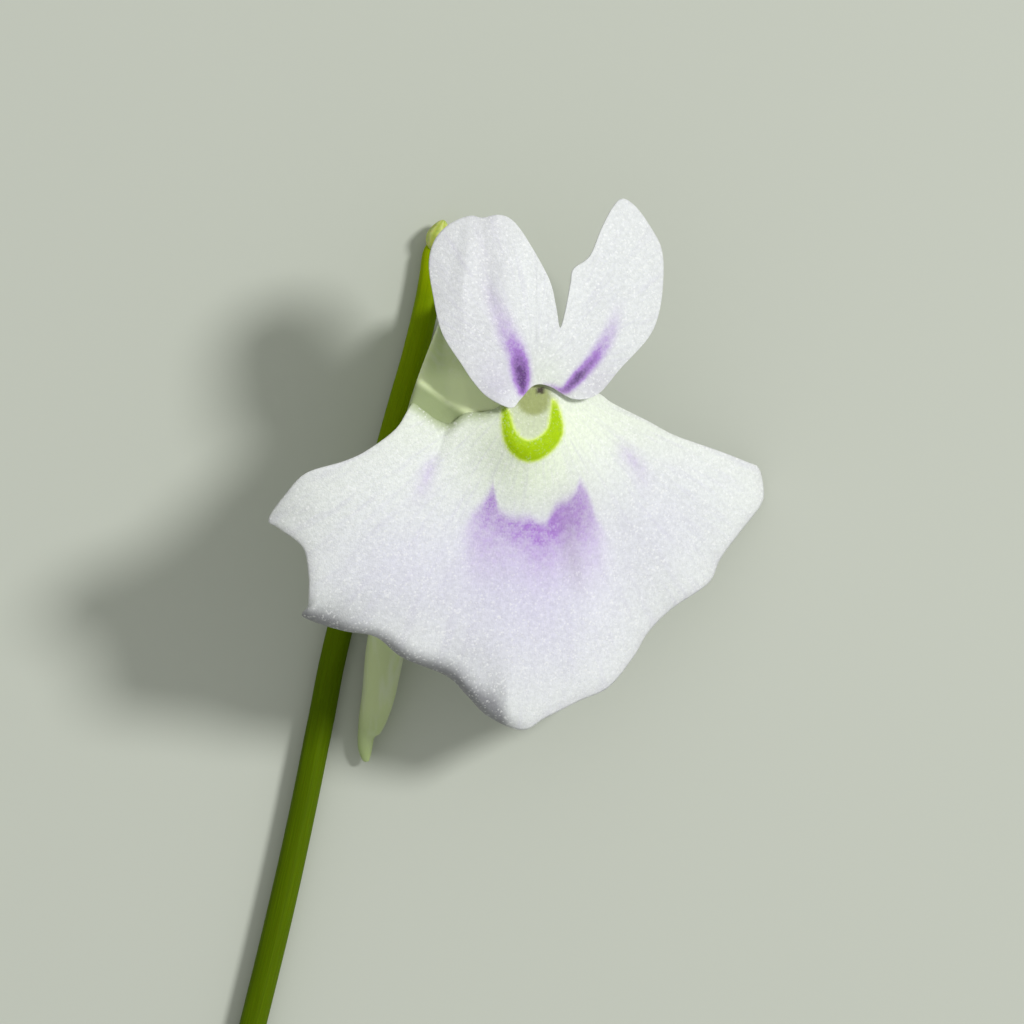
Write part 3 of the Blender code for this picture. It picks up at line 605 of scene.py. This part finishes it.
def make_stalk(name, path, step, sides, ridges, ridge_depth, skin):
    """A stalk along a path of x, y, z and radius, as a plain closed mesh."""
    points = smooth_points(path, step, False)
    curve = bpy.data.curves.new(name + "_path", "CURVE")
    curve.dimensions = "3D"
    spline = curve.splines.new("POLY")
    spline.points.add(len(points) - 1)
    for knot, point in zip(spline.points, points):
        place = (Vector(point[:3]) + THROAT) * MM
        knot.co = (*place, 1.0)
        knot.radius = point[3] * MM
    guide = bpy.data.objects.new(name + "_path", curve)
    bpy.context.scene.collection.objects.link(guide)
    sweep = guide.modifiers.new("Sweep", "NODES")
    sweep.node_group = SWEPT_STALK
    sizes = {"Sides": sides, "Ridges": float(ridges), "Ridge depth": ridge_depth * MM, "Skin": skin}
    for item in SWEPT_STALK.interface.items_tree:
        if item.in_out == "INPUT" and item.name in sizes:
            sweep[item.identifier] = sizes[item.name]
    bpy.context.view_layer.update()
    graph = bpy.context.evaluated_depsgraph_get()
    mesh = bpy.data.meshes.new_from_object(guide.evaluated_get(graph))
    bpy.data.objects.remove(guide)
    mesh.name = name
    stalk = bpy.data.objects.new(name, mesh)
    bpy.context.scene.collection.objects.link(stalk)
    bm = bmesh.new()
    bm.from_mesh(mesh)
    bmesh.ops.remove_doubles(bm, verts=bm.verts, dist=1e-7)
    bm.normal_update()
    bmesh.ops.recalc_face_normals(bm, faces=bm.faces)
    bm.to_mesh(mesh)
    bm.free()
    mesh.shade_smooth()
    mesh.set_sharp_from_angle(angle=math.radians(50.0))
    return stalk


# Waxy stem skin: smooth, dark olive green, paler and yellower towards the tip, with a
# satin line of light along it. The paler stretch is partly painted light, lifting the
# stem where the flower's shadow falls on it.
STEM_LENGTH = 21.2
STEM_DARK = "#4C6200"
STEM_PALE_PAINTED_LIGHT = "#7A9200"
STEM_YOUNG = "#93A800"
PITH = "#A9B878"


def stem_material():
    material, tree, shader = new_material("waxy_stem_skin")
    place = add_node(tree, "ShaderNodeTexCoord").outputs["Object"]
    along = mark(tree, "along").outputs["Fac"]
    around = mark(tree, "around").outputs["Fac"]
    # Partly painted light: the stem turns paler along the stretch that lies in the flower's shadow.
    rise = add_node(tree, "ShaderNodeMapRange", {}, {0: along, 1: 0.012, 2: 0.019, 3: 0.0, 4: 1.0})
    colour = blend(tree, rise.outputs[0], linear(STEM_DARK), linear(STEM_PALE_PAINTED_LIGHT))
    young = add_node(tree, "ShaderNodeMapRange", {}, {0: along, 1: 0.0201, 2: 0.0207, 3: 0.0, 4: 1.0})
    colour = blend(tree, young.outputs[0], colour, linear(STEM_YOUNG))
    fibre = add_node(tree, "ShaderNodeCombineXYZ", {},
                     {0: calc(tree, "MULTIPLY", around, 60.0), 1: calc(tree, "MULTIPLY", along, 700.0)})
    fibres = add_node(tree, "ShaderNodeTexNoise", {},
                      {"Vector": fibre.outputs[0], "Scale": 1.0, "Detail": 3.0}).outputs[0]
    paler = add_node(tree, "ShaderNodeMapRange", {}, {0: fibres, 1: 0.42, 2: 0.75, 3: 0.0, 4: 0.5})
    colour = blend(tree, paler.outputs[0], colour, linear("#5F7A00"))
    tree.links.new(colour, shader.inputs["Base Color"])
    shader.inputs["Roughness"].default_value = 0.50
    shader.inputs["Specular IOR Level"].default_value = 0.04
    shader.inputs["Subsurface Weight"].default_value = 0.08
    shader.inputs["Subsurface Scale"].default_value = 0.1 * MM
    grains = add_node(tree, "ShaderNodeTexNoise", {},
                      {"Vector": place, "Scale": 1 / (0.06 * MM), "Detail": 2.0}).outputs[0]
    relief = calc(tree, "ADD", fibres, calc(tree, "MULTIPLY", grains, 0.3))
    bump = add_node(tree, "ShaderNodeBump", {}, {"Strength": 0.5, "Distance": 0.02 * MM, "Height": relief})
    tree.links.new(bump.outputs[0], shader.inputs["Normal"])
    return material


stem_skin = stem_material()
stem = make_stalk("stem_scape", STEM_PATH, 0.12, 48, 5, 0.008, stem_skin)
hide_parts("stem")
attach(stem, "root")

# The flower's stalk.
# The short pedicel that rises from the stem behind the left lobe and ends at the calyx.
STALK_PATH = [
    (-1.98, 2.14, 0.32, 0.13), (-1.86, 2.20, 0.32, 0.13), (-1.73, 2.30, 0.36, 0.12),
    (-1.60, 2.26, 0.50, 0.12), (-1.60, 2.08, 0.68, 0.12), (-1.68, 1.84, 0.84, 0.13),
    (-1.67, 1.56, 1.12, 0.16),
]
flower_stalk = make_stalk("pedicel", STALK_PATH, 0.05, 32, 5, 0.004, stem_skin)
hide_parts("flower_stalk")
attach(flower_stalk, "root")

# The tube and the spur.
# The back of the flower: a short funnel from the calyx to the mouth behind both lips,
# drawn out below into the long spur, which ends in a longer and a shorter tooth.
CALYX_BASE = (-1.62, 1.46, 1.22)
TUBE_BACK_RADIUS = 0.42
TUBE_STEPS = 26
TUBE_PINCH = 0.16
TUBE_BELLY = -0.08                           # the same on the flank, where it swells
TUBE_RIM_SHARES = (0.10, 0.22, 0.34, 0.46, 0.58, 0.70, 0.84)
TUBE_DISH = 0.4
TUBE_MOUTH_OUTLINE = [
    (-2.66, -0.60), (-2.25, -1.05), (-1.30, -1.42), (-0.30, -1.62), (0.60, -1.25),
    (1.10, -0.72), (1.15, -0.32), (0.70, -0.06), (0.10, 0.00), (-0.50, -0.04),
    (-1.00, -0.08), (-1.60, -0.10), (-2.10, -0.12), (-2.42, -0.18), (-2.64, -0.36),
]
SPUR_PATH = [
    (-1.03, 0.26, 2.82, 0.46), (-1.28, -0.38, 2.42, 0.78), (-1.62, -1.08, 1.86, 0.82),
    (-2.02, -1.95, 1.36, 0.70),
    (-2.46, -3.05, 0.98, 0.56), (-2.86, -4.25, 0.70, 0.46), (-3.12, -5.20, 0.50, 0.40),
    (-3.27, -6.14, 0.39, 0.34), (-3.40, -6.68, 0.34, 0.28), (-3.45, -6.94, 0.32, 0.19),
]
SPUR_TOOTH_PATH = [
    (-3.46, -6.50, 0.33, 0.20), (-3.53, -7.02, 0.29, 0.17), (-3.54, -7.28, 0.27, 0.14),
    (-3.52, -7.50, 0.26, 0.07),
]
TUBE_GAP = 0.02
TUBE_GRAIN = 0.036                           # the size of the remeshed surface's faces


def make_tube(skin):
    rim = smooth_points(TUBE_MOUTH_OUTLINE, 0.10, True)
    middle = rim.mean(0)
    levels = []
    for share in (0.0,) + TUBE_RIM_SHARES:
        level = rim + (middle - rim) * share
        behind = lower_lip_face(level[:, 0], level[:, 1], 0.0) - LIP_THICKNESS - TUBE_GAP
        behind -= TUBE_DISH * step_up(share, 0.55, 0.84)
        edge = step_up(shoulder_rise(level[:, 0], level[:, 1]), -0.25, -0.08)
        behind += 0.07 * edge * step_up(-level[:, 0], 0.7, 1.0)
        levels.append([Vector((*point, z)) for point, z in zip(level, behind)])
    mouth = levels[0]
    centre = sum(mouth, Vector()) / len(mouth)
    back = Vector(CALYX_BASE)
    axis = (centre - back).normalized()
    across = axis.orthogonal().normalized()
    up = axis.cross(across)
    rings = []
    for share in np.arange(TUBE_STEPS) / TUBE_STEPS:
        ring = []
        for edge in mouth:
            radial = edge - centre
            angle = math.atan2(radial.dot(up), radial.dot(across))
            start = back + (across * math.cos(angle) + up * math.sin(angle)) * TUBE_BACK_RADIUS
            point = start.lerp(edge, share)
            flank = float(step_up(-edge.x, 1.2, 2.0))
            pinch = TUBE_PINCH + (TUBE_BELLY - TUBE_PINCH) * flank
            point += (back.lerp(centre, share) - point) * pinch * share * (1.0 - share)
            ring.append(point)
        rings.append(ring)
    rings += levels
    bm = bmesh.new()
    count = len(mouth)
    verts = [[bm.verts.new(point) for point in ring] for ring in rings]
    for low, high in zip(verts[:-1], verts[1:]):
        for i in range(count):
            bm.faces.new((low[i], low[(i + 1) % count], high[(i + 1) % count], high[i]))
    bm.faces.new(verts[0])
    bm.faces.new(verts[-1])
    bmesh.ops.recalc_face_normals(bm, faces=bm.faces)
    for path in (SPUR_PATH, SPUR_TOOTH_PATH):
        part = make_stalk("spur_part", path, 0.15, 40, 0, 0.0, skin)
        mesh = part.data
        mesh.transform(Matrix.Scale(1 / MM, 4))
        mesh.transform(Matrix.Translation(-THROAT))
        bm.from_mesh(mesh)
        bpy.data.objects.remove(part)
        bpy.data.meshes.remove(mesh)
    mesh = bpy.data.meshes.new("tube_and_spur_sac")
    bm.to_mesh(mesh)
    bm.free()
    tube = bpy.data.objects.new("tube_and_spur_sac", mesh)
    bpy.context.scene.collection.objects.link(tube)
    skinned = tube.modifiers.new("Remesh", "REMESH")
    skinned.mode = "VOXEL"
    skinned.voxel_size = TUBE_GRAIN
    soften = tube.modifiers.new("Soften", "SMOOTH")
    soften.factor = 0.5
    soften.iterations = 10
    bpy.context.view_layer.update()
    graph = bpy.context.evaluated_depsgraph_get()
    solid = bpy.data.meshes.new_from_object(tube.evaluated_get(graph))
    points = np.empty(3 * len(solid.vertices))
    solid.vertices.foreach_get("co", points)
    x, y, z = points.reshape(-1, 3).T
    # Painted shade and light on the flank: the green mark darkens the part that the key light reaches, and the
    # pale mark lightens the part in the left lobe's shadow.
    green = step_up(0.15 - 0.667 * (x + 2.52) - y, -0.10, 0.10) * step_up(z, 3.0, 3.8)
    pale = step_up(0.6 - y, 0.0, 0.5) * step_up(z, 2.2, 2.8) * step_up(-x, 0.4, 0.8) * (1.0 - green)
    for mark_name, values in (("green", green), ("pale", pale)):
        stored = solid.attributes.new(mark_name, "FLOAT", "POINT")
        stored.data.foreach_set("value", values.astype(np.float32))
    tube.modifiers.clear()
    tube.data = solid
    solid.transform(Matrix.Translation(THROAT))
    solid.transform(Matrix.Scale(MM, 4))
    solid.shade_smooth()
    solid.materials.clear()
    solid.materials.append(skin)
    return tube


# Sac skin: the petal's tissue again, thinner and greener, with fine veins along it.
def sac_material():
    material, tree, shader = new_material("spur_sac_skin")
    place = add_node(tree, "ShaderNodeTexCoord").outputs["Object"]
    cells = add_node(tree, "ShaderNodeTexVoronoi", {}, {"Vector": place, "Scale": 1 / (CELL * MM)})
    tint = add_node(tree, "ShaderNodeSeparateColor", {}, {0: cells.outputs["Color"]}).outputs[0]
    stretch = add_node(tree, "ShaderNodeMapping", {},
                       {"Vector": place, "Rotation": (0.0, 0.0, math.radians(17.0)),
                        "Scale": (5200.0, 500.0, 5200.0)})
    veins = add_node(tree, "ShaderNodeTexNoise", {},
                     {"Vector": stretch.outputs[0], "Scale": 1.0, "Detail": 3.0}).outputs[0]
    paler = add_node(tree, "ShaderNodeMapRange", {}, {0: veins, 1: 0.45, 2: 0.70, 3: 0.0, 4: 0.6})
    colour = blend(tree, paler.outputs[0], linear("#C6D39F"), linear("#D3DAC4"))
    # Painted light on the shadowed flank, then painted shade where the key light reaches it.
    colour = blend(tree, mark(tree, "pale").outputs["Fac"], colour, linear("#E4F0BE"))
    colour = blend(tree, mark(tree, "green").outputs["Fac"], colour, linear("#95A276"))
    # Painted shade: the spur's lower end is darkened where it reaches out of the flower's shadow.
    level = add_node(tree, "ShaderNodeSeparateXYZ", {}, {0: place}).outputs["Y"]
    end = add_node(tree, "ShaderNodeMapRange", {},
                   {0: level, 1: THROAT.y * MM - 7.4 * MM, 2: THROAT.y * MM - 6.4 * MM, 3: 0.8, 4: 0.0})
    colour = blend(tree, end.outputs[0], colour, linear("#A5B87C"))
    tree.links.new(colour, shader.inputs["Base Color"])
    shader.inputs["Roughness"].default_value = 0.48
    shader.inputs["Specular IOR Level"].default_value = 0.25
    shader.inputs["Subsurface Weight"].default_value = 0.35
    shader.inputs["Subsurface Radius"].default_value = (1.0, 1.0, 0.7)
    shader.inputs["Subsurface Scale"].default_value = 0.25 * MM
    relief = calc(tree, "ADD", calc(tree, "MULTIPLY", tint, 0.4), veins)
    bump = add_node(tree, "ShaderNodeBump", {}, {"Strength": 0.4, "Distance": 0.02 * MM, "Height": relief})
    tree.links.new(bump.outputs[0], shader.inputs["Normal"])
    return material


tube = make_tube(sac_material())
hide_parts("tube_and_spur")
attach(tube, "root")

# The sepals and the bract.
# Small cupped green leaves: the two sepals clasp the back of the tube, and the bract
# lies where the flower's stalk leaves the stem.
CALYX_AXIS = (0.286, -0.589, 0.756)
SEPAL_LENGTHS = (1.55, 1.10)
SEPAL_WIDTH = 1.35
SEPAL_ROUND = 0.62
SEPAL_RADII = (0.56, 0.78)
LEAF_GRID = 64


def make_leaf(name, base, tip, outward, width, round_radius, belly, thickness, skin):
    """A small cupped leaf with a midrib, its back towards outward."""
    base, tip, outward = Vector(base), Vector(tip), Vector(outward)
    along = (tip - base).normalized()
    outward = (outward - along * outward.dot(along)).normalized()
    side = along.cross(outward)
    length = (tip - base).length
    bm = bmesh.new()
    bmesh.ops.create_grid(bm, x_segments=LEAF_GRID, y_segments=LEAF_GRID, size=0.5)
    rib = bm.verts.layers.float.new("rib")
    share_layer = bm.verts.layers.float.new("along")
    for vert in bm.verts:
        across = 2.0 * vert.co.x
        share = vert.co.y + 0.5
        half = 0.5 * width * math.sqrt(max(0.0, 1.0 - ((share - 0.42) / 0.60) ** 2))
        half *= 1.0 - 0.6 * share ** 6
        angle = across * half / round_radius
        lift = round_radius * (math.cos(angle) - 1.0) + belly * math.sin(math.pi * share * 0.62)
        vert[rib] = math.exp(-(across / 0.09) ** 2) + 0.6 * math.exp(-((abs(across) - 0.42) / 0.07) ** 2)
        vert[share_layer] = share
        lift += 0.02 * vert[rib] * (1.0 - share)
        point = base + along * length * share + side * round_radius * math.sin(angle) + outward * lift
        vert.co = (point + THROAT) * MM
    bm.normal_update()
    facing = sum((f.normal * f.calc_area() for f in bm.faces), Vector())
    if facing.dot(outward) < 0.0:
        bmesh.ops.reverse_faces(bm, faces=bm.faces)
    mesh = bpy.data.meshes.new(name)
    bm.to_mesh(mesh)
    bm.free()
    mesh.shade_smooth()
    mesh.materials.append(skin)
    leaf = bpy.data.objects.new(name, mesh)
    bpy.context.scene.collection.objects.link(leaf)
    sheet = leaf.modifiers.new("Thickness", "SOLIDIFY")
    sheet.thickness = thickness * MM
    sheet.offset = -1.0
    return leaf


# Sepal skin: thin leaf tissue, yellow-green with paler ribs, a soft waxy sheen.
def leaf_material(name, body, rib):
    material, tree, shader = new_material(name)
    place = add_node(tree, "ShaderNodeTexCoord").outputs["Object"]
    cells = add_node(tree, "ShaderNodeTexNoise", {},
                     {"Vector": place, "Scale": 1 / (0.08 * MM), "Detail": 3.0}).outputs[0]
    ribs = mark(tree, "rib").outputs["Fac"]
    colour = blend(tree, ribs, linear(body), linear(rib))
    mottle = add_node(tree, "ShaderNodeMapRange", {}, {0: cells, 1: 0.4, 2: 0.7, 3: 0.0, 4: 0.35})
    colour = blend(tree, mottle.outputs[0], colour, linear("#7E9A2E"))
    tree.links.new(colour, shader.inputs["Base Color"])
    shader.inputs["Roughness"].default_value = 0.45
    shader.inputs["Subsurface Weight"].default_value = 0.2
    shader.inputs["Subsurface Scale"].default_value = 0.12 * MM
    relief = calc(tree, "ADD", cells, ribs)
    bump = add_node(tree, "ShaderNodeBump", {}, {"Strength": 0.4, "Distance": 0.015 * MM, "Height": relief})
    tree.links.new(bump.outputs[0], shader.inputs["Normal"])
    return material


sepal_skin = leaf_material("sepal_skin", "#A3BC52", "#C2D382")
calyx_axis = Vector(CALYX_AXIS).normalized()
for name, node, upward, length in (("upper_sepal_leaf", "upper_sepal", 1.0, SEPAL_LENGTHS[0]),
                                   ("lower_sepal_leaf", "lower_sepal", -1.0, SEPAL_LENGTHS[1])):
    outward = Vector((0.0, upward, 0.0))
    outward = (outward - calyx_axis * outward.dot(calyx_axis)).normalized()
    foot = Vector(CALYX_BASE) - calyx_axis * 0.05 + outward * SEPAL_RADII[0]
    tip = Vector(CALYX_BASE) + calyx_axis * length + outward * SEPAL_RADII[1]
    sepal = make_leaf(name, foot, tip, outward, SEPAL_WIDTH, SEPAL_ROUND, 0.16, 0.08, sepal_skin)
    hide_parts(node)
    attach(sepal, "root")

bract = make_leaf("bract_leaf", (-1.78, 2.04, 0.08), (-1.40, 2.70, 0.08), (0.0, 0.0, -1.0),
                  0.36, 0.80, 0.0, 0.05, sepal_skin)
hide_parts("bract")
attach(bract, "root")

# The top bud.
# A small unopened bud at the tip of the stem, closed by two clasping scales.
BUD_CENTRE = (-2.06, 3.10, 0.34)
BUD_RADII = (0.24, 0.34, 0.24)
BUD_TURN = math.radians(-18.0)
bm = bmesh.new()
bmesh.ops.create_uvsphere(bm, u_segments=64, v_segments=48, radius=1.0)
rib = bm.verts.layers.float.new("rib")
for vert in bm.verts:
    angle = math.atan2(vert.co.y, vert.co.x)
    seam = math.exp(-(math.sin(angle + 1.2 * vert.co.z) / 0.10) ** 2)
    vert[rib] = 0.5 * (1.0 + math.cos(angle * 8.0))
    swell = 1.0 - 0.07 * seam + 0.015 * vert[rib]
    taper = (1.0 - 0.35 * max(0.0, vert.co.z)) * swell
    x, z, y = vert.co.x * BUD_RADII[0] * taper, vert.co.y * BUD_RADII[2] * taper, vert.co.z * BUD_RADII[1]
    turned_x = x * math.cos(BUD_TURN) - y * math.sin(BUD_TURN)
    turned_y = x * math.sin(BUD_TURN) + y * math.cos(BUD_TURN)
    vert.co = (Vector(BUD_CENTRE) + Vector((turned_x, turned_y, z)) + THROAT) * MM
bm.normal_update()
bmesh.ops.recalc_face_normals(bm, faces=bm.faces)
mesh = bpy.data.meshes.new("bud_scales")
bm.to_mesh(mesh)
bm.free()
mesh.shade_smooth()
mesh.materials.append(leaf_material("bud_scale_skin", "#B5C24A", "#CBD47A"))
bud = bpy.data.objects.new("bud_scales", mesh)
bpy.context.scene.collection.objects.link(bud)
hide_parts("top_bud")
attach(bud, "root")

# The view.
# A plain pale floor, one broad key light from the upper right, a soft sky all round, and
# the camera straight above the flower, as far away as a long lens needs.
FRAME_CENTRE = (-0.58, -2.46)
FRAME_WIDTH = 20.48
LENS = 800.0
SENSOR = 36.0
FLOOR_HALF = 0.5
floor_mesh = bpy.data.meshes.new("floor")
corners = [(-FLOOR_HALF, -FLOOR_HALF, 0), (FLOOR_HALF, -FLOOR_HALF, 0),
           (FLOOR_HALF, FLOOR_HALF, 0), (-FLOOR_HALF, FLOOR_HALF, 0)]
floor_mesh.from_pydata(corners, [], [(0, 1, 2, 3)])
floor = bpy.data.objects.new("floor", floor_mesh)
bpy.context.scene.collection.objects.link(floor)
material, tree, shader = new_material("matt_floor")
shader.inputs["Base Color"].default_value = linear("#C6CABF")
shader.inputs["Roughness"].default_value = 0.9
shader.inputs["Specular IOR Level"].default_value = 0.2
floor_mesh.materials.append(material)

world = bpy.data.worlds.new("soft_sky")
world.use_nodes = True
world.node_tree.nodes["Background"].inputs["Color"].default_value = linear("#F4F6F2")
world.node_tree.nodes["Background"].inputs["Strength"].default_value = 0.50
bpy.context.scene.world = world

centre = (Vector((*FRAME_CENTRE, THROAT_HEIGHT)) + THROAT) * MM
light = bpy.data.lights.new("key", "AREA")
light.shape = "DISK"
light.size = 0.07
light.energy = 0.72
key = bpy.data.objects.new("key", light)
key.location = centre + Vector((0.90, 0.40, 1.00)).normalized() * 0.32
key.rotation_euler = (centre - key.location).to_track_quat("-Z", "Y").to_euler()
bpy.context.scene.collection.objects.link(key)

lens = bpy.data.cameras.new("camera")
lens.lens = LENS
lens.sensor_width = SENSOR
lens.clip_start = 0.02
lens.clip_end = 10.0
camera = bpy.data.objects.new("camera", lens)
camera.location = centre + Vector((0.0, 0.0, FRAME_WIDTH * LENS / SENSOR * MM))
bpy.context.scene.collection.objects.link(camera)
bpy.context.scene.camera = camera
bpy.context.scene.view_settings.view_transform = "Standard"
